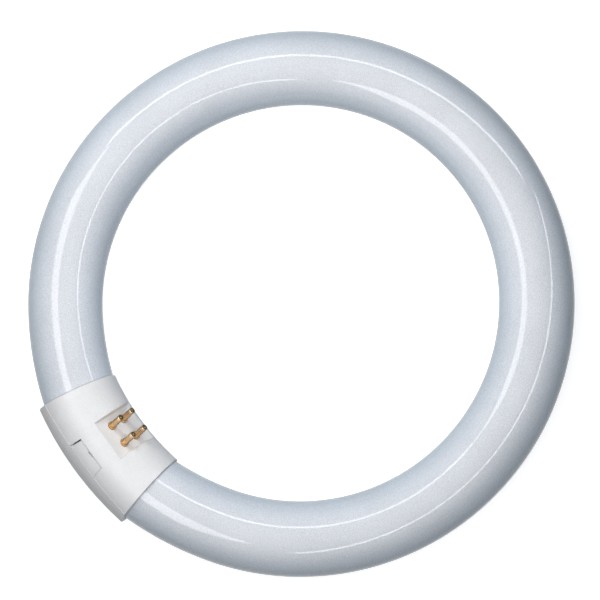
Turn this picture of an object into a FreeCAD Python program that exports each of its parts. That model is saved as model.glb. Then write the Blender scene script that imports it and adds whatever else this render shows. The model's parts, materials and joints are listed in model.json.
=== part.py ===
"""Circular fluorescent tube with a four-pin base, as a parametric document.

Millimetres. The ring lies flat: its axis is Z and the origin is the centre of
the ring, in the plane of the tube's centre line. The base is at -Y, and its
pins lean 45 degrees from Z towards the middle of the ring.
"""
import FreeCAD, Part
import math
import os
import Sketcher

from FreeCAD import Placement, Rotation, Vector

# Driving dimensions
SIZES = [
    # the glass
    ("ring_radius", 90.5, "centre of the ring to the tube's centre line"),
    ("tube_diameter", 28.6, "outside of the glass"),
    ("flatten_angle", 34.0, "from the base's middle to where the bend flattens, degrees"),
    ("end_bend_radius", 116.0, "bend of the two flatter ends"),
    ("glass_gap", 25.0, "between the two glass rims, inside the base"),
    ("shoulder_radius", 4.5, "rounding of the glass where it turns in to the stem"),
    ("rim_width", 0.6, "flat rim between the shoulder and the flare"),
    ("flare_depth", 3.4, "rim to the bottom of the flare"),
    ("flare_floor_radius", 4.0, "bottom of the flare"),
    ("exhaust_diameter", 4.4, "sealed exhaust tube in the middle of the stem"),
    ("exhaust_reach", 4.6, "exhaust tube's tip beyond the rim"),
    # the base
    ("base_length", 47.2, "along the base's own axis"),
    ("base_bend_radius", 116.0, "bend of the base's own axis"),
    ("base_offset", 1.15, "middle of the base's axis outside the ring's centre line"),
    ("base_wall", 1.3, "shell over the seats of the glass"),
    ("seat_clearance", 0.15, "between the glass and its seat"),
    ("back_step", 0.15, "back half's surface over the pin half's"),
    ("mouth_round", 0.25, "outer edge of each mouth"),
    ("hollow_wall", 2.6, "shell round the hollow between the glass ends"),
    ("pin_lean", 45.0, "pins' lean from the ring's axis, degrees"),
    ("parting_height", 1.0, "parting plane above the base's axis, on the pins' side"),
    ("recess_width", 16.1, "flat recess round the pins, along the base"),
    ("recess_depth", 2.85, "below the crown of the pin half"),
    ("recess_chamfer", 0.3, "outer edge of the recess's two side walls"),
    ("floor_thickness", 1.6, "plate that carries the pins"),
    # the snap tabs of the back half
    ("tab_height", 5.55, "above the parting plane"),
    ("tab_root_width", 14.5, "at the parting plane"),
    ("tab_tip_width", 12.9, "at the tip"),
    ("tab_thickness", 1.25, "through the wall"),
    ("tab_clearance", 0.26, "round a tab in the middle of its notch"),
    ("tab_shift", 0.2, "tab off the middle of its notch, towards +X"),
    ("relief_width", 0.9, "slot through the wall along each side of a notch"),
    ("catch_radius", 0.5, "bead inside each tab"),
    ("catch_length", 6.0, "along the base"),
    ("catch_height", 3.3, "above the parting plane"),
    ("pry_width", 2.1, "slot in the middle of a tab's tip"),
    ("pry_depth", 0.35, "slot below the tab's tip"),
    # the pins and wires
    ("pin_spacing", 7.92, "along the base"),
    ("row_spacing", 6.35, "across the base"),
    ("pin_diameter", 2.36, "shank"),
    ("pin_length", 7.6, "tip above the recess's floor"),
    ("pin_bore", 0.9, "through the pin"),
    ("tip_round", 0.66, "edge of the tip"),
    ("flange_diameter", 3.35, "on the recess's floor"),
    ("flange_height", 0.5, "on the recess's floor"),
    ("rivet_diameter", 3.2, "spread end under the plate"),
    ("rivet_height", 0.6, "spread end under the plate"),
    ("dimple_radius", 0.6, "crimp mark on the shank"),
    ("dimple_depth", 0.22, "crimp mark on the shank"),
    ("dimple_height", 2.5, "crimp mark above the floor"),
    ("wire_diameter", 0.6, "lead wire"),
    ("wire_bend", 3.4, "lead wire's bend, to its centre"),
    ("wire_level", 3.2, "lead wires above the base's axis"),
    ("wire_seal", 3.0, "lead wire's length inside the glass, from the rim"),
]

doc = FreeCAD.newDocument("circular_tube")
sheet = doc.addObject("Spreadsheet::Sheet", "sizes")


class Size:
    """A size as the sheet writes it, with its number for first positions."""

    def __init__(self, text, number):
        self.text, self.number = text, number

    def _join(self, other, sign, number, swap=False):
        a, b = str(self), str(other)
        if swap:
            a, b = b, a
        return Size(f"({a} {sign} {b})", number)

    def __str__(self):
        return self.text

    def __float__(self):
        return float(self.number)

    def __add__(self, other):
        return self._join(other, "+", self.number + float(other))

    def __sub__(self, other):
        return self._join(other, "-", self.number - float(other))

    def __rsub__(self, other):
        return self._join(other, "-", float(other) - self.number, swap=True)

    def __mul__(self, other):
        return self._join(other, "*", self.number * float(other))

    def __truediv__(self, other):
        return self._join(other, "/", self.number / float(other))

    def __neg__(self):
        return Size(f"(-1 * {self})", -self.number)

    __radd__, __rmul__ = __add__, __mul__


def sine(angle):
    return Size(f"sin({angle})", math.sin(math.radians(float(angle))))


def cosine(angle):
    return Size(f"cos({angle})", math.cos(math.radians(float(angle))))


def arc_sine(ratio):
    return Size(f"(asin({ratio}) / 1 deg)", math.degrees(math.asin(float(ratio))))


def root(value):
    return Size(f"sqrt({value})", math.sqrt(float(value)))


def degrees(length, radius):
    """The angle that an arc's length takes up."""
    return length / radius * (180 / math.pi)


def fill_sheet():
    named = {}
    for row, (alias, number, note) in enumerate(SIZES, start=1):
        sheet.set(f"A{row}", alias)
        sheet.set(f"B{row}", str(number))
        sheet.setAlias(f"B{row}", alias)
        sheet.set(f"C{row}", note)
        named[alias] = Size(f"sizes.{alias}", number)
    doc.recompute()
    return named


class Named:
    """The sheet's sizes as attributes."""

    def __init__(self, named):
        self.__dict__.update(named)


s = Named(fill_sheet())

# Sizes that follow from the sheet
TUBE_R = s.tube_diameter / 2
BASE_MIDDLE = s.ring_radius + s.base_offset
BASE_BEND = s.base_bend_radius
SEAT_R = TUBE_R + s.seat_clearance
SHELL_R = SEAT_R + s.base_wall
BACK_R = SHELL_R + s.back_step
HOLLOW_R = SHELL_R - s.hollow_wall
FLOOR = SHELL_R - s.recess_depth
PLATE = FLOOR - s.floor_thickness
PIN_R = s.pin_diameter / 2
BASE_ANGLE = degrees(s.base_length, BASE_BEND)

# The flatter ends of the glass bend about a point beyond the ring's centre
END_X = (s.ring_radius - s.end_bend_radius) * sine(s.flatten_angle)
END_Y = (s.end_bend_radius - s.ring_radius) * cosine(s.flatten_angle)
RIM_ANGLE = arc_sine((s.glass_gap / 2 - END_X) / s.end_bend_radius)
CAP_ANGLE = RIM_ANGLE + degrees(s.shoulder_radius, s.end_bend_radius)
SEAT_ANGLE = RIM_ANGLE - degrees(s.seat_clearance, s.end_bend_radius)

SIDES = (("right", 1), ("left", -1))


# Helpers
def bind(obj, **paths):
    for path, size in paths.items():
        obj.setExpression(path, str(size))
    return obj


def put(obj, x=0, y=0, z=0, axis=(0, 0, 1), angle=0):
    """Place an object by sizes: its base, and a turn about one axis."""
    start = 1.0 if float(angle) == 0 else float(angle)
    obj.Placement = Placement(Vector(float(x), float(y), float(z)), Rotation(Vector(*axis), start))
    for path, size in (("Base.x", x), ("Base.y", y), ("Base.z", z), ("Rotation.Angle", angle)):
        obj.setExpression(f".Placement.{path}", str(size))
    return obj


def put_on_base(obj, along=0, across=0, up=0, axis=(1, 0, 0), angle=None):
    """Place an object in the base's own directions.

    Along is the base's length, up is the pins' direction, and across is square
    to both. The frame starts on the middle of the base's axis.
    """
    lean = s.pin_lean
    y = cosine(lean) * across + sine(lean) * up - BASE_MIDDLE
    z = cosine(lean) * up - sine(lean) * across
    return put(obj, along, y, z, axis, -lean if angle is None else angle)


def ring_arc(name, radius, section, start, turn, x=0, y=0):
    """A round bar bent about Z, from an angle off -Y, towards +X.

    Its seam lies on the inside of the bend.
    """
    arc = doc.addObject("Part::Torus", name)
    bind(arc, Radius1=radius, Radius2=section, Angle3=turn)
    return put(arc, x, y, 0, (0, 0, 1), start - 90)


def outer_seam_arc(name, radius, section, start, turn, x=0, y=0):
    """The same bar with its seam on the outside of the bend."""
    body = new_body(name)
    circle = sketch_on(body, name + "_section", "XZ_Plane")
    draw_circle(circle, radius, 0, section)
    revolve(body, circle, "V_Axis", turn)
    return put(body, x, y, 0, (0, 0, 1), start - 90)


def base_block(name, along, across, low, high):
    """A box centred on the base, between two heights above the base's axis."""
    box = doc.addObject("Part::Box", name)
    bind(box, Length=along, Width=across, Height=high - low)
    return put_on_base(box, -(along / 2), -(across / 2), low)


def combine(kind, name, base, tool):
    obj = doc.addObject(kind, name)
    obj.Base, obj.Tool = base, tool
    return obj


def cut(name, base, tool):
    return combine("Part::Cut", name, base, tool)


def common(name, base, tool):
    return combine("Part::Common", name, base, tool)


def join(name, *pieces):
    obj = doc.addObject("Part::MultiFuse", name)
    obj.Shapes = list(pieces)
    obj.Refine = True
    return obj


def origin_plane(body, role):
    return next(f for f in body.Origin.OriginFeatures if f.Role == role)


def new_body(name):
    return doc.addObject("PartDesign::Body", name)


def sketch_on(body, name, role):
    sketch = body.newObject("Sketcher::SketchObject", name)
    sketch.AttachmentSupport = [(origin_plane(body, role), "")]
    sketch.MapMode = "FlatFace"
    return sketch


def fix_point(sketch, geo, pos, x, y):
    """Hold a point at two sizes from the sketch's origin."""
    for value, kind, axis in ((x, "DistanceX", -2), (y, "DistanceY", -1)):
        if float(value) == 0:
            sketch.addConstraint(Sketcher.Constraint("PointOnObject", geo, pos, axis))
        else:
            at = sketch.addConstraint(Sketcher.Constraint(kind, -1, 1, geo, pos, float(value)))
            sketch.setExpression(f"Constraints[{at}]", str(value))


def trace(sketch, points, closed=True):
    """Draw lines and arcs through points held by sizes.

    A point is (x, y), or (x, y, radius, (centre x, centre y)) where an arc
    leads to it. An arc turns the way of the shorter side.
    """
    ends = points[1:] + points[:1] if closed else points[1:]
    first = last = None
    for start, end in zip(points, ends):
        a = Vector(float(start[0]), float(start[1]), 0)
        b = Vector(float(end[0]), float(end[1]), 0)
        begin, finish = 1, 2
        if len(end) == 2:
            geo = sketch.addGeometry(Part.LineSegment(a, b))
        else:
            centre = Vector(float(end[3][0]), float(end[3][1]), 0)
            p, q = a - centre, b - centre
            counter = p.x * q.y - p.y * q.x > 0
            angles = [math.atan2(v.y, v.x) for v in ((p, q) if counter else (q, p))]
            circle = Part.Circle(centre, Vector(0, 0, 1), float(end[2]))
            geo = sketch.addGeometry(Part.ArcOfCircle(circle, *angles))
            begin, finish = (1, 2) if counter else (2, 1)
            at = sketch.addConstraint(Sketcher.Constraint("Radius", geo, float(end[2])))
            sketch.setExpression(f"Constraints[{at}]", str(end[2]))
        if last is None:
            first = (geo, begin)
            fix_point(sketch, geo, begin, start[0], start[1])
        else:
            sketch.addConstraint(Sketcher.Constraint("Coincident", *last, geo, begin))
        last = (geo, finish)
        if closed and end is points[0]:
            sketch.addConstraint(Sketcher.Constraint("Coincident", *last, *first))
        else:
            fix_point(sketch, geo, finish, end[0], end[1])


def draw_circle(sketch, x, y, radius):
    circle = Part.Circle(Vector(float(x), float(y), 0), Vector(0, 0, 1), float(radius))
    geo = sketch.addGeometry(circle)
    at = sketch.addConstraint(Sketcher.Constraint("Radius", geo, float(radius)))
    sketch.setExpression(f"Constraints[{at}]", str(radius))
    fix_point(sketch, geo, 3, x, y)


def revolve(body, sketch, axis, angle=360):
    turned = body.newObject("PartDesign::Revolution", body.Name + "_turned")
    turned.Profile = sketch
    turned.ReferenceAxis = (sketch, [axis])
    return bind(turned, Angle=angle)


# The glass
def glass_end(name, side):
    """Rounded shoulder, flare and sealed exhaust tube, turned about X."""
    body = new_body(name)
    sketch = sketch_on(body, name + "_profile", "XY_Plane")
    rim, shoulder = s.shoulder_radius, TUBE_R - s.shoulder_radius
    floor, exhaust = rim - s.flare_depth, s.exhaust_diameter / 2
    tip = rim + s.exhaust_reach
    trace(sketch, [
        (0, 0),
        (0, TUBE_R),
        (rim, shoulder, s.shoulder_radius, (0, shoulder)),
        (rim, shoulder - s.rim_width),
        (floor, s.flare_floor_radius),
        (floor, exhaust),
        (tip - exhaust, exhaust),
        (tip, 0, exhaust, (tip - exhaust, 0)),
    ])
    revolve(body, sketch, "H_Axis")
    x = (END_X + s.end_bend_radius * sine(CAP_ANGLE)) * side
    y = END_Y - s.end_bend_radius * cosine(CAP_ANGLE)
    return put(body, x, y, 0, (0, 0, 1), CAP_ANGLE + 180 if side > 0 else -CAP_ANGLE)


def end_arc(name, side, section, angle, arc=ring_arc):
    """A flatter end of the ring, from an angle off -Y to the main bend."""
    start = angle if side > 0 else -s.flatten_angle
    return arc(name, s.end_bend_radius, section, start, s.flatten_angle - angle, END_X * side, END_Y)


def build_glass(wires):
    bend = ring_arc("main_bend", s.ring_radius, TUBE_R, s.flatten_angle, 360 - 2 * s.flatten_angle)
    ends = [end_arc(f"{name}_end_bend", side, TUBE_R, CAP_ANGLE) for name, side in SIDES]
    stems = [glass_end(f"{name}_stem", side) for name, side in SIDES]
    sealed = join("sealed_glass", bend, *ends, *stems)
    return cut("glass_tube", sealed, join("wire_seals", *wires))


# The lead wires
def build_wire(name, side, row):
    """From the glass along the base, then up into a pin."""
    body = new_body(name)
    up = s.pin_spacing / 2 * side
    start = (s.glass_gap / 2 + s.wire_seal) * side
    level, turned = s.wire_level, s.wire_level + s.wire_bend
    path = sketch_on(body, name + "_path", "XZ_Plane")
    trace(path, [
        (start, level),
        (up + s.wire_bend * side, level),
        (up, turned, s.wire_bend, (up + s.wire_bend * side, turned)),
        (up, FLOOR + s.pin_length - s.tip_round),
    ], closed=False)
    section = sketch_on(body, name + "_section", "YZ_Plane")
    section.AttachmentOffset = Placement(Vector(0, 0, float(start)), Rotation())
    section.setExpression(".AttachmentOffset.Base.z", str(start))
    draw_circle(section, 0, level, s.wire_diameter / 2)
    doc.recompute()
    pipe = body.newObject("PartDesign::AdditivePipe", name + "_drawn")
    pipe.Profile = section
    pipe.Spine = (path, ["Edge1", "Edge2", "Edge3"])
    return put_on_base(body, 0, s.row_spacing / 2 * row, 0)


# The contact pins
def build_pin(name, side, row):
    """A hollow turned pin, riveted through the plate, with crimp marks."""
    body = new_body(name)
    sketch = sketch_on(body, name + "_profile", "XZ_Plane")
    bore, rivet, flange = s.pin_bore / 2, s.rivet_diameter / 2, s.flange_diameter / 2
    under, length = -s.floor_thickness, s.pin_length
    tip = PIN_R - s.tip_round
    trace(sketch, [
        (bore, under - s.rivet_height),
        (rivet, under - s.rivet_height),
        (rivet, under),
        (PIN_R, under),
        (PIN_R, 0),
        (flange, 0),
        (flange, s.flange_height),
        (PIN_R, s.flange_height),
        (PIN_R, length - s.tip_round),
        (tip, length, s.tip_round, (tip, length - s.tip_round)),
        (bore, length),
    ])
    revolve(body, sketch, "V_Axis")
    doc.recompute()
    for face, way in (("front", -1), ("rear", 1)):
        dimple = body.newObject("PartDesign::SubtractiveSphere", f"{name}_{face}_dimple")
        bind(dimple, Radius=s.dimple_radius)
        put(dimple, 0, (PIN_R + s.dimple_radius - s.dimple_depth) * way, s.dimple_height)
        doc.recompute()
    return put_on_base(body, s.pin_spacing / 2 * side, s.row_spacing / 2 * row, FLOOR)


# The base
WIDE = s.tube_diameter * 3
NONE = WIDE * 0


def base_arc(name, section, arc, turn=BASE_ANGLE):
    """A bent bar along the base's axis, over its whole length or a part of it."""
    return arc(name, BASE_BEND, section, -(turn / 2), turn, 0, BASE_BEND - BASE_MIDDLE)


def round_edges(name, base, size, wanted):
    """Round the edges of an object that a test picks out."""
    doc.recompute()
    rounded = doc.addObject("Part::Fillet", name)
    rounded.Base = base
    radius = float(size)
    rounded.Edges = [(n, radius, radius) for n, e in enumerate(base.Shape.Edges, start=1) if wanted(e)]
    return rounded


def sleeve(name, radius, arc):
    """The base's bent round bar, with its two mouth edges rounded."""
    def is_mouth(edge):
        return isinstance(edge.Curve, Part.Circle) and abs(edge.Curve.Radius - float(radius)) < 1e-6

    return round_edges(name, base_arc(name + "_bar", radius, arc), s.mouth_round, is_mouth)


def build_recess():
    """What the recess takes away: two side walls whose outer edges widen.

    The walls stand square to X, and the widening is turned about the base's
    axis where it passes through them.
    """
    body = new_body("recess_walls")
    sketch = sketch_on(body, "recess_profile", "XY_Plane")
    half, low, high = s.recess_width / 2, SHELL_R - s.recess_chamfer, SHELL_R + s.recess_depth
    wide = half + high - low
    trace(sketch, [(-half, 0), (half, 0), (half, low), (wide, high), (-wide, high), (-half, low)])
    revolve(body, sketch, "H_Axis")
    put(body, 0, BASE_BEND - root(BASE_BEND * BASE_BEND - half * half) - BASE_MIDDLE)
    return common("pin_recess", body, base_block("above_floor", WIDE, WIDE, FLOOR, WIDE))


def tab_wedge(name, side, end, shift):
    """The tapered outline of both tabs, let out at its sides and at its two ends."""
    wedge = doc.addObject("Part::Wedge", name)
    low, high = -end, s.tab_height + end
    root_half, tip_half = s.tab_root_width / 2 + side, s.tab_tip_width / 2 + side
    bind(wedge, Ymin=low, Ymax=high)
    bind(wedge, Xmin=-root_half, Xmax=root_half, X2min=-tip_half, X2max=tip_half)
    bind(wedge, Zmin=-(WIDE / 2), Zmax=WIDE / 2, Z2min=-(WIDE / 2), Z2max=WIDE / 2)
    return put_on_base(wedge, shift, up=s.parting_height, angle=90 - s.pin_lean)


def tab_ring(name, outer, inner, arc):
    """A thin bent tube that the tabs and their notches are cut from."""
    return cut(name, base_arc(name + "_outside", outer, arc), base_arc(name + "_inside", inner, arc))


def reliefs(behind):
    """Slots through the wall behind both sides of each notch."""
    gap = s.tab_clearance
    strips = cut("relief_strips", tab_wedge("relief_outside", gap, gap, NONE),
                 tab_wedge("relief_inside", gap - s.relief_width, gap * 2, NONE))
    ring = tab_ring("relief_ring", behind + gap / 2, HOLLOW_R - gap * 2, outer_seam_arc)
    return common("reliefs", ring, strips)


def pry_slots(name):
    """A slot square to the surface at the tip of each tab, through to the hollow."""
    tip = s.parting_height + s.tab_height
    rise = arc_sine(tip / SHELL_R)
    start, gap = HOLLOW_R - s.hollow_wall, s.tab_clearance
    slots = []
    for face, way in (("front", -1), ("rear", 1)):
        slot = doc.addObject("Part::Box", f"{name}_{face}")
        bind(slot, Length=s.pry_width, Width=s.pry_depth + gap, Height=s.hollow_wall * 3)
        low = -s.pry_depth if way < 0 else -gap
        across = start * cosine(rise) * way + low * sine(rise)
        up = start * sine(rise) - low * cosine(rise) * way
        turn = 90 - s.pin_lean - rise if way < 0 else rise - s.pin_lean - 90
        slots.append(put_on_base(slot, s.tab_shift - s.pry_width / 2, across, up, angle=turn))
    return join(name, *slots)


def catches(name, clearance, shift):
    """Round beads along the base, one inside each tab."""
    tab_inside = SHELL_R - s.tab_thickness
    height = s.parting_height + s.catch_height
    reach = root(tab_inside * tab_inside - height * height)
    length = s.catch_length + 2 * clearance
    beads = []
    for face, way in (("front", -1), ("rear", 1)):
        bead = doc.addObject("Part::Cylinder", f"{name}_{face}")
        bind(bead, Radius=s.catch_radius + clearance, Height=length)
        put_on_base(bead, shift - length / 2, reach * way, height, axis=(0, 1, 0), angle=90)
        beads.append(bead)
    return join(name, *beads)


def inside(half, arc):
    """What a half leaves free: the two seats and the hollow between."""
    seats = [end_arc(f"{half}_{name}_seat", side, SEAT_R, SEAT_ANGLE, arc) for name, side in SIDES]
    turn = degrees(s.glass_gap, BASE_BEND) + 3
    middle = base_arc(f"{half}_hollow_bar", HOLLOW_R, arc, turn)
    under = base_block(f"{half}_under_plate", WIDE, WIDE, -WIDE, PLATE)
    return join(f"{half}_inside", *seats, common(f"{half}_hollow", middle, under))


def build_back_half():
    bar = sleeve("back_sleeve", BACK_R, ring_arc)
    half = common("back_bar", bar, base_block("back_side", WIDE, WIDE, -WIDE, s.parting_height))
    shell = cut("back_shell", half, inside("back", ring_arc))
    ring = tab_ring("tab_ring", SHELL_R, SHELL_R - s.tab_thickness, outer_seam_arc)
    whole_tabs = common("whole_tabs", ring, tab_wedge("tab_wedge", NONE, NONE, s.tab_shift))
    tabs = cut("tabs", whole_tabs, pry_slots("tab_pry_slots"))
    return join("base_back_half", shell, tabs, catches("tab_catches", NONE, s.tab_shift))


def pin_holes():
    holes = []
    for name, side, row in PIN_PLACES:
        hole = doc.addObject("Part::Cylinder", f"hole_{name}")
        bind(hole, Radius=PIN_R, Height=WIDE)
        holes.append(put_on_base(hole, s.pin_spacing / 2 * side, s.row_spacing / 2 * row))
    return holes


def build_pin_half():
    bar = sleeve("pin_sleeve", SHELL_R, outer_seam_arc)
    half = common("pin_bar", bar, base_block("pin_side", WIDE, WIDE, s.parting_height, WIDE))
    gap = s.tab_clearance
    behind = SHELL_R - s.tab_thickness - gap
    notch_ring = tab_ring("notch_ring", SHELL_R + WIDE / 10, behind, outer_seam_arc)
    notches = common("notches", notch_ring, tab_wedge("notch_wedge", gap, gap, NONE))
    shell = cut("pin_half_hollowed", half, inside("pin", outer_seam_arc))
    tools = [build_recess(), *pin_holes(), notches, reliefs(behind), pry_slots("wall_pry_slots")]
    for step, tool in enumerate(tools, start=1):
        shell = cut(f"pin_half_cut_{step}", shell, tool)
    return cut("base_pin_half", shell, catches("catch_grooves", gap, NONE))


PIN_PLACES = [(f"{face}_{hand}", side, row)
              for face, row in (("front", -1), ("rear", 1)) for hand, side in SIDES]


def build():
    pins = [build_pin(f"contact_pin_{name}", side, row) for name, side, row in PIN_PLACES]
    wires = [build_wire(f"lead_wire_{name}", side, row) for name, side, row in PIN_PLACES]
    glass = build_glass(wires)
    return [glass, build_pin_half(), build_back_half(), *pins, *wires]


def check(parts):
    doc.recompute()
    failed = [o.Name for o in doc.Objects if {"Invalid", "Error"} & set(o.State)]
    failed += [o.Name for o in parts if o.Shape.isNull() or not o.Shape.isValid() or len(o.Shape.Solids) != 1]
    if failed:
        raise RuntimeError("these objects failed: " + ", ".join(failed))


def main():
    parts = build()
    check(parts)
    os.makedirs("parts", exist_ok=True)
    for obj in parts:
        obj.Label = obj.Name
        obj.Shape.exportStep(f"parts/{obj.Label}.step")
        box = obj.Shape.BoundBox
        size = f"{box.XLength:.2f} x {box.YLength:.2f} x {box.ZLength:.2f}"
        print(f"{obj.Label}: {obj.Shape.Volume:.1f} mm3, {size}")


main()
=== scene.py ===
"""Looks of the circular fluorescent tube: coated glass ring, snapped base, brass pins and lead wires.

Metres, in the part's own frame: the ring's axis is Z, the base is at -Y, and
the pins lean from Z towards the middle of the ring.
"""
import json
import math

import bmesh
import bpy
from bpy.props import FloatProperty, FloatVectorProperty, IntProperty, PointerProperty
from bpy.types import Operator, Panel, PropertyGroup
from mathutils import Matrix, Vector


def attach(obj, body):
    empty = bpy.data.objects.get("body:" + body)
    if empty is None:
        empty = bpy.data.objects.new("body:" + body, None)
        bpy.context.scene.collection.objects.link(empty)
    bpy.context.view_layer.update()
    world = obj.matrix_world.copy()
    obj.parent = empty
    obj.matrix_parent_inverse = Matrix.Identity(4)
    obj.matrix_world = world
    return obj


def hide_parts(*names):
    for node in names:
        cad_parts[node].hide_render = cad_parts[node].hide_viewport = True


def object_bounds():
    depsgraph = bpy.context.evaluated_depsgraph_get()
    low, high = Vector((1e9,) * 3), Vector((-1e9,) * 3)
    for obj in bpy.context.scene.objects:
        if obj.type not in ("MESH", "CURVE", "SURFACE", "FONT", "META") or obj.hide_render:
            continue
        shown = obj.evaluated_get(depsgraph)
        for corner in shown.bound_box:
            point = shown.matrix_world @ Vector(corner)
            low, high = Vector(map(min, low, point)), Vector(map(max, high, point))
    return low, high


bl_info = {
    "name": "Circular fluorescent tube",
    "version": (1, 0, 0),
    "blender": (4, 5, 0),
    "location": "3D View > Sidebar > Circular Tube",
    "description": "Builds the glass ring, the contact pins, the finishes of the base and the stage",
    "category": "Object",
}

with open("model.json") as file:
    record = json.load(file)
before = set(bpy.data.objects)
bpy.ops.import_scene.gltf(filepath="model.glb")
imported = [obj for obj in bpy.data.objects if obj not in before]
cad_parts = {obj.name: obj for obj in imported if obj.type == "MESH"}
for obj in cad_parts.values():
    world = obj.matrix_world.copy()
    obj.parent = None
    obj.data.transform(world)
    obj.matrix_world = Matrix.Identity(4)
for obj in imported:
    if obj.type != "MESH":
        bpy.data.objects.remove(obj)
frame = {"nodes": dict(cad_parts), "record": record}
CAD_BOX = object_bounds()
PIN_MOUNTS = {m["name"]: m for m in frame["record"]["mounts"] if m["kind"] == "pin"}
MM = 0.001
LEAN = math.radians(45)
BASE_HALVES = ("base_pin_half", "base_back_half")
MOUNT_START = 0.5 * MM  # a pin's mount begins on top of the collar
WELD_DISTANCE = 0.001 * MM
WHITE = (1.0, 1.0, 1.0, 1.0)


# Sizes and colours that a user may change
class GlassRingSettings(PropertyGroup):
    """The bent glass, as the part's source has it."""

    ring_radius: FloatProperty(
        name="Ring radius", description="Centre of the ring to the tube's centre line",
        default=90.5 * MM, unit="LENGTH")
    tube_radius: FloatProperty(
        name="Tube radius", description="Outside of the glass",
        default=14.3 * MM, unit="LENGTH")
    flatten_angle: FloatProperty(
        name="Flatten angle", description="From the middle of the base to where the bend gets flatter",
        default=math.radians(34), subtype="ANGLE")
    end_bend_radius: FloatProperty(
        name="End bend radius", description="Bend of the two flatter ends",
        default=116 * MM, unit="LENGTH")
    glass_gap: FloatProperty(
        name="Glass gap", description="Between the two glass rims inside the base",
        default=25 * MM, unit="LENGTH")
    base_length: FloatProperty(
        name="Base length", description="Along the base's own axis, from mouth to mouth",
        default=47.2 * MM, unit="LENGTH")
    base_bend_radius: FloatProperty(
        name="Base bend radius", description="Bend of the base's own axis",
        default=116 * MM, unit="LENGTH")
    base_offset: FloatProperty(
        name="Base offset", description="Middle of the base outside the ring's centre line",
        default=1.15 * MM, unit="LENGTH")
    shoulder_radius: FloatProperty(
        name="Shoulder radius", description="Rounding where the glass turns in to its stem",
        default=4.5 * MM, unit="LENGTH")
    segments: IntProperty(name="Segments", description="Points round the tube", default=96)
    steps: IntProperty(name="Steps", description="Sections along the main bend", default=320)


class ContactPinSettings(PropertyGroup):
    """One turned pin, from the floor of the recess up."""

    shank_radius: FloatProperty(
        name="Shank radius", description="Straight part of the pin",
        default=1.18 * MM, unit="LENGTH")
    length: FloatProperty(
        name="Length", description="Tip above the floor of the recess",
        default=7.6 * MM, unit="LENGTH")
    flange_radius: FloatProperty(
        name="Flange radius", description="Collar on the floor of the recess",
        default=1.675 * MM, unit="LENGTH")
    flange_height: FloatProperty(
        name="Flange height", description="Collar on the floor of the recess",
        default=0.5 * MM, unit="LENGTH")
    tip_round: FloatProperty(
        name="Tip rounding", description="Edge of the tip",
        default=0.66 * MM, unit="LENGTH")
    bore_radius: FloatProperty(
        name="Bore radius", description="Hole for the lead wire",
        default=0.45 * MM, unit="LENGTH")
    bore_depth: FloatProperty(
        name="Bore depth", description="Open part of the hole, down from the tip",
        default=1.2 * MM, unit="LENGTH")
    collar_round: FloatProperty(
        name="Collar rounding", description="Upper edge of the collar",
        default=0.16 * MM, unit="LENGTH")
    bore_round: FloatProperty(
        name="Bore rounding", description="Edge of the hole at the tip",
        default=0.05 * MM, unit="LENGTH")
    dimple_height: FloatProperty(
        name="Dimple height", description="Crimp mark above the floor of the recess",
        default=2.5 * MM, unit="LENGTH")
    dimple_radius: FloatProperty(
        name="Dimple radius", description="Reach of a crimp mark",
        default=0.55 * MM, unit="LENGTH")
    dimple_depth: FloatProperty(
        name="Dimple depth", description="Depth of a crimp mark",
        default=0.2 * MM, unit="LENGTH")
    segments: IntProperty(name="Segments", description="Points round the pin", default=48)
    rows: IntProperty(name="Rows", description="Rows of faces along the shank", default=22)


class FinishSettings(PropertyGroup):
    """Colours of the four finishes."""

    coating: FloatVectorProperty(
        name="Coating", description="White coating inside the glass",
        default=(0.785, 0.80, 0.84), size=3, subtype="COLOR", min=0, max=1)
    plastic: FloatVectorProperty(
        name="Plastic", description="Moulded base",
        default=(0.876, 0.868, 0.864), size=3, subtype="COLOR", min=0, max=1)
    brass: FloatVectorProperty(
        name="Brass", description="Turned pins",
        default=(0.77, 0.50, 0.25), size=3, subtype="COLOR", min=0, max=1)
    # Painted highlight: a pale brass colour laid on a band just below each pin's tip.
    highlight_brass: FloatVectorProperty(
        name="Worn brass", description="Rubbed ends of the pins",
        default=(0.95, 0.84, 0.62), size=3, subtype="COLOR", min=0, max=1)
    # Dark brown for painted shade and dark reflection on the pins' tips, collar rims and sides, and for stain
    # speckle.
    stain_and_shade: FloatVectorProperty(
        name="Tarnish", description="Dull brown on the pins' tips and edges",
        default=(0.09, 0.055, 0.02), size=3, subtype="COLOR", min=0, max=1)
    wire: FloatVectorProperty(
        name="Wire", description="Drawn lead wires",
        default=(0.66, 0.62, 0.56), size=3, subtype="COLOR", min=0, max=1)


class StageSettings(PropertyGroup):
    """Camera and light."""

    camera_distance: FloatProperty(
        name="Camera distance", description="Camera to the middle of the ring",
        default=0.7, unit="LENGTH")
    camera_tilt: FloatProperty(
        name="Camera tilt", description="Away from straight down, towards +X",
        default=math.radians(5.5), subtype="ANGLE")
    camera_roll: FloatProperty(
        name="Camera roll", description="From +X to the image's right",
        default=math.radians(53.0), subtype="ANGLE")
    view_width: FloatProperty(
        name="View width", description="Width of the image at the ring",
        default=230.05 * MM, unit="LENGTH")
    box_radiance: FloatProperty(
        name="Box radiance", description="Brightness of the soft box", default=1.80)
    key_radiance: FloatProperty(
        name="Key radiance", description="Brightness of the small box that draws the pins' shadows",
        default=13.5)
    dome_strength: FloatProperty(
        name="Dome strength", description="Light of the soft dome", default=1.0)
    strip_strength: FloatProperty(
        name="Strip strength", description="Brightness of the strip lamps", default=1.0)


class CircularTubeSettings(PropertyGroup):
    """All settings of the tube."""

    glass: PointerProperty(type=GlassRingSettings)
    pins: PointerProperty(type=ContactPinSettings)
    finish: PointerProperty(type=FinishSettings)
    stage: PointerProperty(type=StageSettings)


# Node helpers
def new_node(tree, kind, **properties):
    """Add a node and set its properties."""
    node = tree.nodes.new(kind)
    for name, value in properties.items():
        setattr(node, name, value)
    return node


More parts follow.
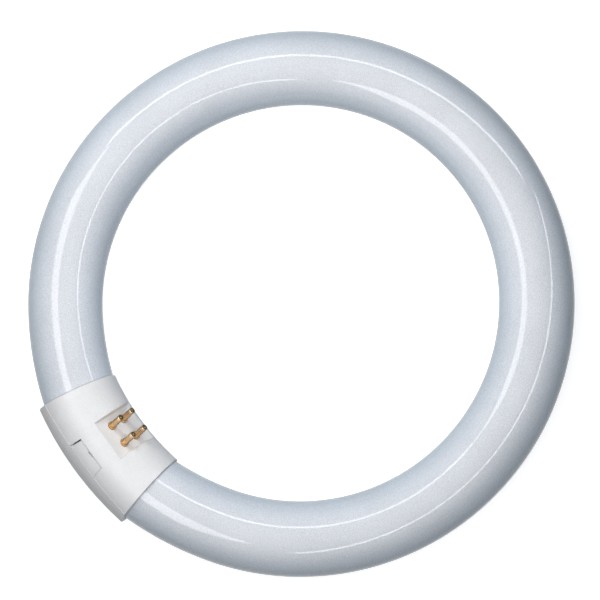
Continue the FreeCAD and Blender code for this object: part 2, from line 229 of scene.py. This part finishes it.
def put_in(tree, socket, value):
    """Link an input to an output socket, or set it to a plain value."""
    if isinstance(value, bpy.types.NodeSocket):
        tree.links.new(value, socket)
    else:
        socket.default_value = value


def feed(tree, node, **inputs):
    """Fill a node's inputs, named with _ for a blank."""
    for name, value in inputs.items():
        put_in(tree, node.inputs[name.replace("_", " ")], value)
    return node


def math_node(tree, operation, first, second=0.0):
    """Result of a Math node on two values or sockets."""
    node = new_node(tree, "ShaderNodeMath", operation=operation)
    put_in(tree, node.inputs[0], first)
    put_in(tree, node.inputs[1], second)
    return node.outputs["Value"]


def dot_product(tree, first, second):
    """How far one vector reaches along another."""
    node = new_node(tree, "ShaderNodeVectorMath", operation="DOT_PRODUCT")
    put_in(tree, node.inputs[0], first)
    put_in(tree, node.inputs[1], second)
    return node.outputs["Value"]


def ramp_value(tree, value, low, high, to_low=0.0, to_high=1.0, smooth=True):
    """Carry a value from one range to another, with soft or straight ends."""
    node = new_node(tree, "ShaderNodeMapRange", interpolation_type="SMOOTHSTEP" if smooth else "LINEAR")
    feed(tree, node, Value=value, From_Min=low, From_Max=high, To_Min=to_low, To_Max=to_high)
    return node.outputs["Result"]


def mix_colour(tree, factor, first, second, blend="MIX"):
    """Mix two colours; the sockets for colours are found by their place, as their names repeat."""
    node = new_node(tree, "ShaderNodeMix", data_type="RGBA", blend_type=blend)
    put_in(tree, node.inputs[0], factor)
    put_in(tree, node.inputs[6], first)
    put_in(tree, node.inputs[7], second)
    return node.outputs[2]


def mix_shader(tree, factor, first, second):
    """The first shader where the factor is 0 and the second where it is 1."""
    node = new_node(tree, "ShaderNodeMixShader")
    for socket, value in zip(node.inputs, (factor, first, second)):
        tree.links.new(value, socket)
    return node.outputs["Shader"]


def object_place(tree):
    """Coordinates of the piece itself."""
    return new_node(tree, "ShaderNodeTexCoord").outputs["Object"]


def edge_facing(tree):
    """0 where a surface faces the view and 1 at its edges."""
    return feed(tree, new_node(tree, "ShaderNodeLayerWeight"), Blend=0.5).outputs["Facing"]


def with_alpha(colour, factor=1.0):
    """A colour of four channels, made darker or lighter."""
    return (*(channel * factor for channel in colour), 1.0)


def fine_grain_group():
    """Speckle of a powder coat or a moulded skin, as a mask and a height."""
    name = "fine grain"
    if name in bpy.data.node_groups:
        return bpy.data.node_groups[name]
    tree = bpy.data.node_groups.new(name, "ShaderNodeTree")
    tree.interface.new_socket("Vector", in_out="INPUT", socket_type="NodeSocketVector")
    for label, value in (("Grains per metre", 4000.0), ("Cloud per metre", 60.0), ("Cloud share", 0.3)):
        socket = tree.interface.new_socket(label, in_out="INPUT", socket_type="NodeSocketFloat")
        socket.default_value = value
    for label in ("Mask", "Height"):
        tree.interface.new_socket(label, in_out="OUTPUT", socket_type="NodeSocketFloat")
    inside = new_node(tree, "NodeGroupInput")
    outside = new_node(tree, "NodeGroupOutput")
    grain = new_node(tree, "ShaderNodeTexNoise")
    feed(tree, grain, Vector=inside.outputs["Vector"], Scale=inside.outputs["Grains per metre"],
         Detail=3.0, Roughness=0.65)
    cloud = new_node(tree, "ShaderNodeTexNoise")
    feed(tree, cloud, Vector=inside.outputs["Vector"], Scale=inside.outputs["Cloud per metre"],
         Detail=4.0, Roughness=0.55)
    grain_mask = ramp_value(tree, grain.outputs["Fac"], 0.3, 0.7)
    cloud_mask = ramp_value(tree, cloud.outputs["Fac"], 0.3, 0.7)
    share = inside.outputs["Cloud share"]
    clouded = math_node(tree, "MULTIPLY", cloud_mask, share)
    grained = math_node(tree, "MULTIPLY", grain_mask, math_node(tree, "SUBTRACT", 1.0, share))
    tree.links.new(math_node(tree, "ADD", clouded, grained), outside.inputs["Mask"])
    tree.links.new(grain_mask, outside.inputs["Height"])
    return tree


def place_grain(tree, **values):
    """A fine grain group on the piece's own coordinates."""
    group = new_node(tree, "ShaderNodeGroup", node_tree=fine_grain_group())
    return feed(tree, group, Vector=object_place(tree), **values)


def new_material(name):
    """A material with its node tree and its shader."""
    material = bpy.data.materials.new(name)
    material.use_nodes = True
    tree = material.node_tree
    return material, tree, tree.nodes["Principled BSDF"]


# Finishes
# Painted shade: a bluish tint that darkens the glass towards its edges as seen from the view.
EDGE_SHADE_TINT = (0.72, 0.87, 0.96, 1.0)
# Painted shadow: grey of the line where the glass enters the base.
MOUTH_SHADOW_GREY = (0.1, 0.1, 0.1, 1.0)
RING_PITCH = 0.22 * MM


def mouth_distance(tree, place, sizes):
    """Distance of a point from the nearer mouth of the base, in metres."""
    axes = new_node(tree, "ShaderNodeSeparateXYZ")
    tree.links.new(place, axes.inputs[0])
    turn = sizes.base_length / 2 / sizes.base_bend_radius
    centre = sizes.base_bend_radius - sizes.ring_radius - sizes.base_offset
    out = math_node(tree, "MULTIPLY", math_node(tree, "ABSOLUTE", axes.outputs["X"]), math.cos(turn))
    behind = math_node(tree, "SUBTRACT", centre, axes.outputs["Y"])
    down = math_node(tree, "MULTIPLY", behind, math.sin(turn))
    return math_node(tree, "SUBTRACT", out, down)


def coated_glass(colour, sizes):
    """Clear glossy glass over a white powder coat, with painted bluish shade at its edges and a painted
    shadow line where it enters the base.
    """
    material, tree, shader = new_material("coated_glass")
    grain = place_grain(tree, Grains_per_metre=2600.0, Cloud_per_metre=45.0, Cloud_share=0.18)
    mask = grain.outputs["Mask"]
    thin, thick = with_alpha(colour, 0.85), with_alpha(colour, 1.14)
    powder = mix_colour(tree, mask, thin, thick)
    # Painted shade: the glass goes darker and bluer where it turns away from the view.
    edge_shade = mix_colour(tree, edge_facing(tree), WHITE, EDGE_SHADE_TINT)
    edge_shaded = mix_colour(tree, 1.0, powder, edge_shade, "MULTIPLY")
    from_mouth = mouth_distance(tree, object_place(tree), sizes)
    # Painted shadow: a darker line on the glass close to each mouth of the base.
    mouth_shadow = ramp_value(tree, from_mouth, 0.75 * MM, 0.2 * MM, 0.0, 0.3)
    feed(tree, shader, Base_Color=mix_colour(tree, mouth_shadow, edge_shaded, MOUTH_SHADOW_GREY))
    feed(tree, shader, Roughness=ramp_value(tree, mask, 0.0, 1.0, 0.75, 0.9))
    feed(tree, shader, Specular_IOR_Level=0.0, Coat_Weight=1.0, Coat_Roughness=0.02, Coat_IOR=1.4)
    return material


def turned_by(tree, normal):
    """How far a softened normal has turned from the surface's own: 0 away from any edge."""
    surface = new_node(tree, "ShaderNodeNewGeometry").outputs["Normal"]
    return math_node(tree, "SUBTRACT", 1.0, dot_product(tree, normal, surface))


def white_plastic(colour):
    """Satin moulded plastic with a fine spark-eroded skin and painted shade along its edges and seams."""
    material, tree, shader = new_material("white_plastic")
    grain = place_grain(tree, Grains_per_metre=2600.0, Cloud_per_metre=120.0, Cloud_share=0.3)
    mask = grain.outputs["Mask"]
    moulded = mix_colour(tree, mask, with_alpha(colour, 0.92), with_alpha(colour, 1.06))
    feed(tree, shader, Roughness=ramp_value(tree, mask, 0.0, 1.0, 0.42, 0.56))
    soft_edge = feed(tree, new_node(tree, "ShaderNodeBevel", samples=8), Radius=0.2 * MM)
    soft_normal = soft_edge.outputs["Normal"]
    # Painted shade: the plastic goes darker wherever the softened normal turns, along every edge and seam.
    seam_shade = ramp_value(tree, turned_by(tree, soft_normal), 0.0, 0.05, 0.0, 0.7)
    feed(tree, shader, Base_Color=mix_colour(tree, seam_shade, moulded, with_alpha(colour, 0.3)))
    skin = new_node(tree, "ShaderNodeBump")
    feed(tree, skin, Strength=0.25, Distance=0.02 * MM, Height=grain.outputs["Height"], Normal=soft_normal)
    feed(tree, shader, Normal=skin.outputs["Normal"], Specular_IOR_Level=0.4)
    return material


def pin_height(tree, place):
    """Height of a point above the floor of the recess, along the pins, in metres."""
    return math_node(tree, "SUBTRACT", dot_product(tree, place, pin_axis()), pin_floor())


def pin_brass(colour, highlight_brass, stain_and_shade, sizes):
    """Turned brass: fine rings round the shank, a painted highlight band near the tip, and painted shade and
    dark reflection on the tip, the collar rim and the sides, mixed with stain speckle.
    """
    material, tree, shader = new_material("pin_brass")
    place = object_place(tree)
    height = pin_height(tree, place)
    # Painted shade and dark reflection: the tip, the collar rim and the sides turned away from the view go
    # dark brown; the speckle below is stain.
    tip = ramp_value(tree, height, sizes.length - 0.4 * MM, sizes.length - 0.12 * MM)
    collar = ramp_value(tree, height, sizes.flange_height + 0.12 * MM, 0.34 * MM, 0.0, 0.85)
    side_shade = ramp_value(tree, edge_facing(tree), 0.3, 0.85, 0.0, 0.85)
    stain = feed(tree, new_node(tree, "ShaderNodeTexNoise"), Vector=place, Scale=900.0, Detail=3.0)
    speckle = ramp_value(tree, stain.outputs["Fac"], 0.5, 0.72, 0.0, 0.45)
    ends = math_node(tree, "MAXIMUM", tip, collar)
    stain_and_shade_mask = math_node(tree, "MAXIMUM", ends, math_node(tree, "MAXIMUM", side_shade, speckle))
    # Painted highlight: a pale band just below the tip.
    tip_highlight = ramp_value(tree, height, sizes.length - 1.7 * MM, sizes.length - 0.8 * MM, 0.0, 0.85)
    highlit_brass = mix_colour(tree, tip_highlight, with_alpha(colour), with_alpha(highlight_brass))
    feed(tree, shader, Base_Color=mix_colour(tree, stain_and_shade_mask, highlit_brass, with_alpha(stain_and_shade)))
    feed(tree, shader, Roughness=math_node(tree, "ADD", math_node(tree, "MULTIPLY", stain_and_shade_mask, 0.2), 0.22))
    rings = math_node(tree, "SINE", math_node(tree, "MULTIPLY", height, 2 * math.pi / RING_PITCH))
    bump = feed(tree, new_node(tree, "ShaderNodeBump"), Strength=0.12, Distance=0.01 * MM, Height=rings)
    feed(tree, shader, Metallic=1.0, Normal=bump.outputs["Normal"])
    return material


def wire_metal(colour):
    """Drawn nickel-iron wire with faint draw marks."""
    material, tree, shader = new_material("wire_metal")
    grain = place_grain(tree, Grains_per_metre=1500.0, Cloud_per_metre=300.0, Cloud_share=0.5)
    mask = grain.outputs["Mask"]
    feed(tree, shader, Base_Color=mix_colour(tree, mask, with_alpha(colour, 0.8), with_alpha(colour)))
    feed(tree, shader, Roughness=ramp_value(tree, mask, 0.0, 1.0, 0.25, 0.45), Metallic=1.0)
    return material


# Mesh helpers
def finish_piece(name, mesh_maker, material, slot, *nodes):
    """Close a bmesh into a smooth piece that rides on the part and stands for CAD nodes."""
    bmesh.ops.remove_doubles(mesh_maker, verts=mesh_maker.verts, dist=WELD_DISTANCE)
    bmesh.ops.recalc_face_normals(mesh_maker, faces=mesh_maker.faces)
    mesh = bpy.data.meshes.new(name)
    mesh_maker.to_mesh(mesh)
    mesh_maker.free()
    mesh.materials.append(material)
    piece = bpy.data.objects.new(name, mesh)
    bpy.context.scene.collection.objects.link(piece)
    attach(piece, "root")
    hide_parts(*nodes)


def give_finish(node, material):
    """Put a finish on a carried-over CAD node."""
    if not node.material_slots:
        node.data.materials.append(material)
    for slot in node.material_slots:
        slot.material = material


def shade_smooth(mesh_maker, sharp_above=math.radians(40)):
    """Smooth faces, with a sharp edge where two faces meet at more than an angle."""
    for face in mesh_maker.faces:
        face.smooth = True
    for edge in mesh_maker.edges:
        edge.smooth = len(edge.link_faces) < 2 or edge.calc_face_angle(0.0) < sharp_above


def sweep(mesh_maker, loop, centre, angle, steps):
    """Carry a loop round an upright axis and give back its last place."""
    swept = bmesh.ops.spin(mesh_maker, geom=loop, cent=centre, axis=(0, 0, 1), angle=angle, steps=steps)
    return swept["geom_last"]


def draw_in(mesh_maker, loop, centre, direction, stations):
    """Extrude an end loop through stations of advance and radius, and close it."""
    radius = max((v.co - centre).length for v in loop if isinstance(v, bmesh.types.BMVert))
    place = centre.copy()
    advance = 0.0
    edges = [e for e in loop if isinstance(e, bmesh.types.BMEdge)]
    for station, station_radius in stations:
        drawn = bmesh.ops.extrude_edge_only(mesh_maker, edges=edges)["geom"]
        verts = [v for v in drawn if isinstance(v, bmesh.types.BMVert)]
        edges = [e for e in drawn if isinstance(e, bmesh.types.BMEdge)]
        size = station_radius / radius
        bmesh.ops.scale(mesh_maker, vec=(size, size, size), space=Matrix.Translation(-place), verts=verts)
        step = direction * (station - advance)
        bmesh.ops.translate(mesh_maker, vec=step, verts=verts)
        place += step
        advance, radius = station, station_radius
    bmesh.ops.edgeloop_fill(mesh_maker, edges=edges)


# Pieces
END_STEPS_MORE = 1.3  # the ends have this many times the sections of the main bend


def glass_ring(sizes):
    """The tube as one swept loop: a flatter end, the main bend and the other end."""
    maker = bmesh.new()
    lean = sizes.flatten_angle
    beyond = sizes.end_bend_radius - sizes.ring_radius
    centre = Vector((-beyond * math.sin(lean), beyond * math.cos(lean), 0))
    rim = math.asin((sizes.glass_gap / 2 - centre.x) / sizes.end_bend_radius)
    cap = rim + sizes.shoulder_radius / sizes.end_bend_radius
    start = centre + Vector((math.sin(cap), -math.cos(cap), 0)) * sizes.end_bend_radius
    across = Matrix.Translation(start) @ Matrix.Rotation(cap, 4, "Z") @ Matrix.Rotation(math.pi / 2, 4, "Y")
    bmesh.ops.create_circle(maker, radius=sizes.tube_radius, segments=sizes.segments, matrix=across)
    first = maker.verts[:] + maker.edges[:]
    end_steps = round(sizes.steps * (lean - cap) / (2 * math.pi) * END_STEPS_MORE)
    other = Vector((-centre.x, centre.y, 0))
    loop = sweep(maker, first, centre, lean - cap, end_steps)
    loop = sweep(maker, loop, Vector(), 2 * (math.pi - lean), sizes.steps)
    loop = sweep(maker, loop, other, lean - cap, end_steps)
    finish = Vector((-start.x, start.y, 0))
    ahead = Vector((-math.cos(cap), -math.sin(cap), 0))
    stations = stem_stations(sizes)
    draw_in(maker, first, start, ahead, stations)
    draw_in(maker, loop, finish, Vector((-ahead.x, ahead.y, 0)), stations)
    return maker


def stem_stations(sizes):
    """Shoulder, rim, flare and sealed exhaust tube of a glass end, as advances and radii."""
    round_off = sizes.shoulder_radius
    inner = sizes.tube_radius - round_off
    rim_width = 0.6 * MM
    flare_foot = round_off - 3.4 * MM
    flare_radius = 4.0 * MM
    exhaust_radius = 2.2 * MM
    stations = []
    for turn in range(15, 91, 15):
        angle = math.radians(turn)
        stations.append((round_off * math.sin(angle), inner + round_off * math.cos(angle)))
    stations.append((round_off, inner - rim_width))
    stations.append((flare_foot, flare_radius))
    stations.append((flare_foot, exhaust_radius))
    stations.append((round_off + 2.4 * MM, exhaust_radius))
    stations.append((round_off + 3.9 * MM, 1.5 * MM))
    stations.append((round_off + 4.5 * MM, 0.5 * MM))
    return stations


def pin_axis():
    """The way the pins point."""
    return Vector(next(iter(PIN_MOUNTS.values()))["axis"])


def pin_floor():
    """Height of the recess's floor along the pins."""
    mount = next(iter(PIN_MOUNTS.values()))
    middle = Vector(mount["pos_m"]).dot(pin_axis())
    return middle - mount["dims"]["length_mm"] / 2 * MM - MOUNT_START


def contact_pin(sizes, mount):
    """Collar, shank with crimp marks, rounded tip and bore, turned up along Z and then leant."""
    maker = bmesh.new()
    bmesh.ops.create_circle(maker, cap_ends=True, radius=sizes.flange_radius, segments=sizes.segments)
    maker.faces.ensure_lookup_table()
    top = raise_face(maker, maker.faces[0], sizes.flange_height, keep_foot=True)
    collar_rim = list(top.edges)
    top = inset_face(maker, top, sizes.flange_radius - sizes.shank_radius)
    for _ in range(sizes.rows):
        top = raise_face(maker, top, (sizes.length - sizes.flange_height) / sizes.rows)
    tip_rim = list(top.edges)
    bore_face = inset_face(maker, top, sizes.shank_radius - sizes.bore_radius)
    bore_rim = list(bore_face.edges)
    raise_face(maker, bore_face, -sizes.bore_depth)
    press_crimps(maker, sizes)
    round_edges(maker, collar_rim, sizes.collar_round, 3)
    round_edges(maker, tip_rim, sizes.tip_round, 7)
    round_edges(maker, bore_rim, sizes.bore_round, 2)
    middle = Vector(mount["pos_m"])
    foot = middle - pin_axis() * (middle.dot(pin_axis()) - pin_floor())
    leant = Matrix.Translation(foot) @ Matrix.Rotation(-LEAN, 4, "X")
    bmesh.ops.transform(maker, matrix=leant, verts=maker.verts)
    return maker


def raise_face(maker, face, height, keep_foot=False):
    """Extrude a face; the raised one takes its place unless the old one is kept as the foot."""
    raised = bmesh.ops.extrude_face_region(maker, geom=[face])["geom"]
    if not keep_foot:
        bmesh.ops.delete(maker, geom=[face], context="FACES_ONLY")
    verts = [v for v in raised if isinstance(v, bmesh.types.BMVert)]
    bmesh.ops.translate(maker, vec=(0, 0, height), verts=verts)
    return next(f for f in raised if isinstance(f, bmesh.types.BMFace))


def inset_face(maker, face, width):
    """Draw a ring inside a face and give back the face, now within it."""
    bmesh.ops.inset_region(maker, faces=[face], thickness=width, use_even_offset=True)
    return face


def round_edges(maker, edges, width, segments):
    """Round the edges that are still there."""
    bmesh.ops.bevel(maker, geom=[e for e in edges if e.is_valid], offset=width, offset_type="OFFSET",
                    affect="EDGES", segments=segments, profile=0.5, material=-1)


def press_crimps(maker, sizes):
    """Push a round crimp mark into the front and the rear of the shank."""
    for way in (-1, 1):
        mark = Vector((0, way * sizes.shank_radius, sizes.dimple_height))
        for vert in maker.verts:
            near = 1 - (vert.co - mark).length / sizes.dimple_radius
            if near > 0:
                vert.co.y -= way * sizes.dimple_depth * (3 * near * near - 2 * near ** 3)


# Stage
SOFT_BOX_PLACE = (-0.002, -0.018, 0.250)
SOFT_BOX_WIDTH = 0.34
KEY_BOX_PLACE = (-0.36, 0.09, 0.30)
KEY_BOX_WIDTH = 0.12
DOME_BRIGHT_WAY = (0.086, -0.982, 0.167)
DOME_LOW = (0.045, 0.068, 0.095, 1.0)
DOME_HIGH = (0.185, 0.183, 0.182, 1.0)
FLOOR_BELOW = 0.1 * MM
FLOOR_RADIUS = 6.0
FLOOR_PALE = (0.8, 0.8, 0.8, 1.0)
FLOOR_BOUNCE = (0.06, 0.10, 0.14, 1.0)
SHADOW_FADE = (0.12, 0.3)  # distances from the middle between which the floor gets its full glow
AIM_RIGHT = 0.23 * MM
AIM_UP = 0.50 * MM
STRIPS = (
    # name, start, end and width in metres, radiance
    ("top_strip", (-0.700, -0.144, 0.80), (0.040, 1.150, 0.80), 0.10, 8.0),
    ("right_strip", (0.250, 1.880, 0.80), (0.567, -0.516, 0.80), 0.07, 8.5),
    ("left_strip", (0.153, -0.287, 0.38), (-0.332, -0.118, 0.38), 0.145, 6.3),
)


def studio_floor(height):
    """A pale floor, white to the camera and to reflections, that keeps a soft shadow."""
    maker = bmesh.new()
    bmesh.ops.create_circle(maker, cap_ends=True, radius=FLOOR_RADIUS, segments=64,
                            matrix=Matrix.Translation((0, 0, height)))
    mesh = bpy.data.meshes.new("studio_floor")
    maker.to_mesh(mesh)
    maker.free()
    floor = bpy.data.objects.new("studio_floor", mesh)
    bpy.context.scene.collection.objects.link(floor)
    mesh.materials.append(floor_finish())


def ray_kinds(tree):
    """Two masks: camera rays, and glossy or transmission rays."""
    path = new_node(tree, "ShaderNodeLightPath")
    mirrored = math_node(tree, "MAXIMUM", path.outputs["Is Glossy Ray"], path.outputs["Is Transmission Ray"])
    return path.outputs["Is Camera Ray"], mirrored


def floor_finish():
    """Pale with its shadow to the camera, white in reflections, and dim where its light falls on the part."""
    material = bpy.data.materials.new("pale_floor")
    material.use_nodes = True
    tree = material.node_tree
    tree.nodes.clear()
    out = new_node(tree, "ShaderNodeOutputMaterial")
    bounce = feed(tree, new_node(tree, "ShaderNodeBsdfDiffuse"), Color=FLOOR_BOUNCE)
    pale = feed(tree, new_node(tree, "ShaderNodeBsdfDiffuse"), Color=FLOOR_PALE)
    reach = new_node(tree, "ShaderNodeVectorMath", operation="LENGTH")
    tree.links.new(object_place(tree), reach.inputs[0])
    glow = new_node(tree, "ShaderNodeEmission")
    feed(tree, glow, Strength=ramp_value(tree, reach.outputs["Value"], *SHADOW_FADE, 0.75, 1.0))
    shadowed = new_node(tree, "ShaderNodeAddShader")
    tree.links.new(pale.outputs[0], shadowed.inputs[0])
    tree.links.new(glow.outputs[0], shadowed.inputs[1])
    white = feed(tree, new_node(tree, "ShaderNodeEmission"), Color=WHITE, Strength=1.0)
    camera, mirrored = ray_kinds(tree)
    unseen = mix_shader(tree, mirrored, bounce.outputs[0], white.outputs[0])
    tree.links.new(mix_shader(tree, camera, unseen, shadowed.outputs[0]), out.inputs["Surface"])
    return material


def studio_dome(strength):
    """Soft light, brighter from the base's side; white where it is seen or mirrored."""
    world = bpy.data.worlds.new("studio_dome")
    bpy.context.scene.world = world
    world.use_nodes = True
    tree = world.node_tree
    tree.nodes.clear()
    out = new_node(tree, "ShaderNodeOutputWorld")
    way = new_node(tree, "ShaderNodeTexCoord").outputs["Generated"]
    level = ramp_value(tree, dot_product(tree, way, DOME_BRIGHT_WAY), 0.0, 1.0, smooth=False)
    soft = new_node(tree, "ShaderNodeBackground")
    feed(tree, soft, Color=mix_colour(tree, level, DOME_LOW, DOME_HIGH), Strength=strength)
    white = feed(tree, new_node(tree, "ShaderNodeBackground"), Color=WHITE, Strength=1.0)
    seen = math_node(tree, "MAXIMUM", *ray_kinds(tree))
    tree.links.new(mix_shader(tree, seen, soft.outputs[0], white.outputs[0]), out.inputs["Surface"])


def soft_box(name, place, width, radiance):
    """A soft square lamp that faces the ring and isn't mirrored in it."""
    place = Vector(place)
    lamp = bpy.data.lights.new(name, "AREA")
    lamp.shape = "SQUARE"
    lamp.size = width
    lamp.energy = radiance * math.pi * width ** 2
    box = bpy.data.objects.new(name, lamp)
    box.matrix_world = Matrix.Translation(place) @ place.to_track_quat("Z", "Y").to_matrix().to_4x4()
    bpy.context.scene.collection.objects.link(box)
    box.visible_camera = False
    box.visible_glossy = False


def strip_lamp(name, start, end, width, radiance):
    """A long narrow lamp between two points that faces the ring and only shows in reflections."""
    start, end = Vector(start), Vector(end)
    middle = (start + end) / 2
    along = (end - start).normalized()
    back = (middle - along * middle.dot(along)).normalized()
    lamp = bpy.data.lights.new(name, "AREA")
    lamp.shape = "RECTANGLE"
    lamp.size = (end - start).length
    lamp.size_y = width
    lamp.energy = radiance * math.pi * lamp.size * lamp.size_y
    strip = bpy.data.objects.new(name, lamp)
    turned = Matrix((along, back.cross(along), back)).transposed().to_4x4()
    strip.matrix_world = Matrix.Translation(middle) @ turned
    bpy.context.scene.collection.objects.link(strip)
    strip.visible_camera = False
    strip.visible_diffuse = False


def studio_camera(sizes):
    """Looks down on the ring, a little from +X, with the base at the lower left."""
    tilt, roll = sizes.camera_tilt, sizes.camera_roll
    back = Vector((math.sin(tilt), 0, math.cos(tilt)))
    along = Vector((math.cos(tilt), 0, -math.sin(tilt)))
    right = along * math.cos(roll) + Vector((0, 1, 0)) * math.sin(roll)
    up = back.cross(right)
    aim = right * AIM_RIGHT + up * AIM_UP
    data = bpy.data.cameras.new("studio_camera")
    data.sensor_width = 36.0
    data.lens = data.sensor_width * sizes.camera_distance / sizes.view_width
    data.clip_start = 0.01
    camera = bpy.data.objects.new("studio_camera", data)
    turned = Matrix((right, up, back)).transposed().to_4x4()
    camera.matrix_world = Matrix.Translation(aim + back * sizes.camera_distance) @ turned
    bpy.context.scene.collection.objects.link(camera)
    bpy.context.scene.camera = camera


# Operators
class TUBE_OT_glass_ring(Operator):
    """Build the coated glass ring"""

    bl_idname = "tube.glass_ring"
    bl_label = "Glass Ring"

    def execute(self, context):
        settings = context.scene.circular_tube
        maker = glass_ring(settings.glass)
        shade_smooth(maker)
        material = coated_glass(settings.finish.coating, settings.glass)
        finish_piece("glass_ring", maker, material, "coated_glass", "glass_tube")
        return {"FINISHED"}


class TUBE_OT_base_halves(Operator):
    """Finish the two snapped halves of the base"""

    bl_idname = "tube.base_halves"
    bl_label = "Base Halves"

    def execute(self, context):
        material = white_plastic(context.scene.circular_tube.finish.plastic)
        for name in BASE_HALVES:
            give_finish(frame["nodes"][name], material)
        return {"FINISHED"}


class TUBE_OT_contact_pins(Operator):
    """Build the four turned contact pins"""

    bl_idname = "tube.contact_pins"
    bl_label = "Contact Pins"

    def execute(self, context):
        settings = context.scene.circular_tube
        finish = settings.finish
        material = pin_brass(finish.brass, finish.highlight_brass, finish.stain_and_shade, settings.pins)
        for name, mount in PIN_MOUNTS.items():
            maker = contact_pin(settings.pins, mount)
            shade_smooth(maker)
            finish_piece("turned_" + name, maker, material, "pin_brass", "contact_" + name)
        return {"FINISHED"}


class TUBE_OT_lead_wires(Operator):
    """Finish the four lead wires"""

    bl_idname = "tube.lead_wires"
    bl_label = "Lead Wires"

    def execute(self, context):
        material = wire_metal(context.scene.circular_tube.finish.wire)
        for name, node in frame["nodes"].items():
            if name.startswith("lead_wire"):
                give_finish(node, material)
        return {"FINISHED"}


class TUBE_OT_stage(Operator):
    """Set up the floor, the lamps and the camera"""

    bl_idname = "tube.stage"
    bl_label = "Stage"

    def execute(self, context):
        settings = context.scene.circular_tube.stage
        context.scene.view_settings.view_transform = "Standard"
        studio_floor(CAD_BOX[0].z - FLOOR_BELOW)
        studio_dome(settings.dome_strength)
        soft_box("soft_box", SOFT_BOX_PLACE, SOFT_BOX_WIDTH, settings.box_radiance)
        soft_box("key_box", KEY_BOX_PLACE, KEY_BOX_WIDTH, settings.key_radiance)
        for name, start, end, width, radiance in STRIPS:
            strip_lamp(name, start, end, width, radiance * settings.strip_strength)
        studio_camera(settings)
        return {"FINISHED"}


class TUBE_PT_build(Panel):
    """Lists the steps that build the tube"""

    bl_idname = "TUBE_PT_build"
    bl_label = "Circular Tube"
    bl_space_type = "VIEW_3D"
    bl_region_type = "UI"
    bl_category = "Circular Tube"

    def draw(self, context):
        for operator in OPERATORS:
            self.layout.operator(operator.bl_idname)


OPERATORS = (
    TUBE_OT_glass_ring,
    TUBE_OT_base_halves,
    TUBE_OT_contact_pins,
    TUBE_OT_lead_wires,
    TUBE_OT_stage,
)
CLASSES = (
    GlassRingSettings,
    ContactPinSettings,
    FinishSettings,
    StageSettings,
    CircularTubeSettings,
    *OPERATORS,
    TUBE_PT_build,
)


def register():
    for cls in CLASSES:
        bpy.utils.register_class(cls)
    bpy.types.Scene.circular_tube = PointerProperty(type=CircularTubeSettings)


def unregister():
    del bpy.types.Scene.circular_tube
    for cls in reversed(CLASSES):
        bpy.utils.unregister_class(cls)


def main():
    register()
    bpy.ops.tube.glass_ring()
    bpy.ops.tube.base_halves()
    bpy.ops.tube.contact_pins()
    bpy.ops.tube.lead_wires()
    bpy.ops.tube.stage()


if __name__ == "__main__":
    main()
